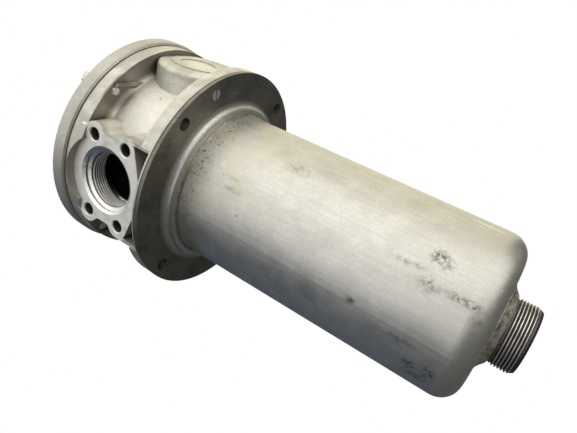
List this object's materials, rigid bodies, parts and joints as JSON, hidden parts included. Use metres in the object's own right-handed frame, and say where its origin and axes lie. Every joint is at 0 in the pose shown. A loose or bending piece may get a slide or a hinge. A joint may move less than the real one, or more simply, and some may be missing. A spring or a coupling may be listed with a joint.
{
  "type": "return line filter",
  "caption": "Tank-top hydraulic return line filter with a flanged cast head, bolted lid, side inlet port, drawn steel bowl and threaded bottom outlet.",
  "frame": {"origin": "centre of the face that seats on the tank, on the bowl's axis", "axes": "+Z along the bowl axis towards the lid, +X out through the inlet port"},
  "size_m": [0.2084, 0.2084, 0.3991],
  "materials": {
    "cast_head": "sand-cast, silver-grey, fine texture",
    "cast_lid": "cast, machined rim",
    "nitrile": "matte black",
    "zinc_bolt": "bright zinc plated",
    "zinc_screw": "zinc plated, scratched",
    "gasket": "dark oil-proof sheet",
    "bowl_steel": "satin, light scuffs",
    "weld_metal": "rough weld",
    "nipple_steel": "dark turned steel",
    "cap_steel": "tinned sheet",
    "filter_medium": "pleated fibre",
    "core_steel": "perforated sheet",
    "valve_aluminium": "turned",
    "spring_steel": "oiled wire"
  },
  "bodies": {
    "housing": {"head": "cast_head", "lid": "cast_lid", "lid_o_ring": "nitrile", "lid_bolts": "zinc_bolt", "lid_washers": "zinc_bolt", "bowl_gasket": "gasket", "bowl_flange": "bowl_steel", "bowl_screws": "zinc_screw", "bowl_can": "bowl_steel", "outlet_weld": "weld_metal", "outlet_nipple": "nipple_steel", "element_bottom_cap": "cap_steel", "element_o_ring": "nitrile", "element_top_cap": "cap_steel", "pleated_media": "filter_medium", "core_tube": "core_steel", "bypass_cage": "cap_steel", "bypass_spring": "spring_steel", "hold_down_spring": "spring_steel"},
    "bypass_valve": {"bypass_poppet": "valve_aluminium"}
  },
  "joints": [
    {"name": "bypass_slide", "type": "slide", "parent": "housing", "child": "bypass_valve", "axis": [0, 0, -1], "range_m": [0, 0.006], "stiffness_N_per_m": 4000, "springref_m": -0.002, "deforming": ["bypass_spring"]}
  ]
}
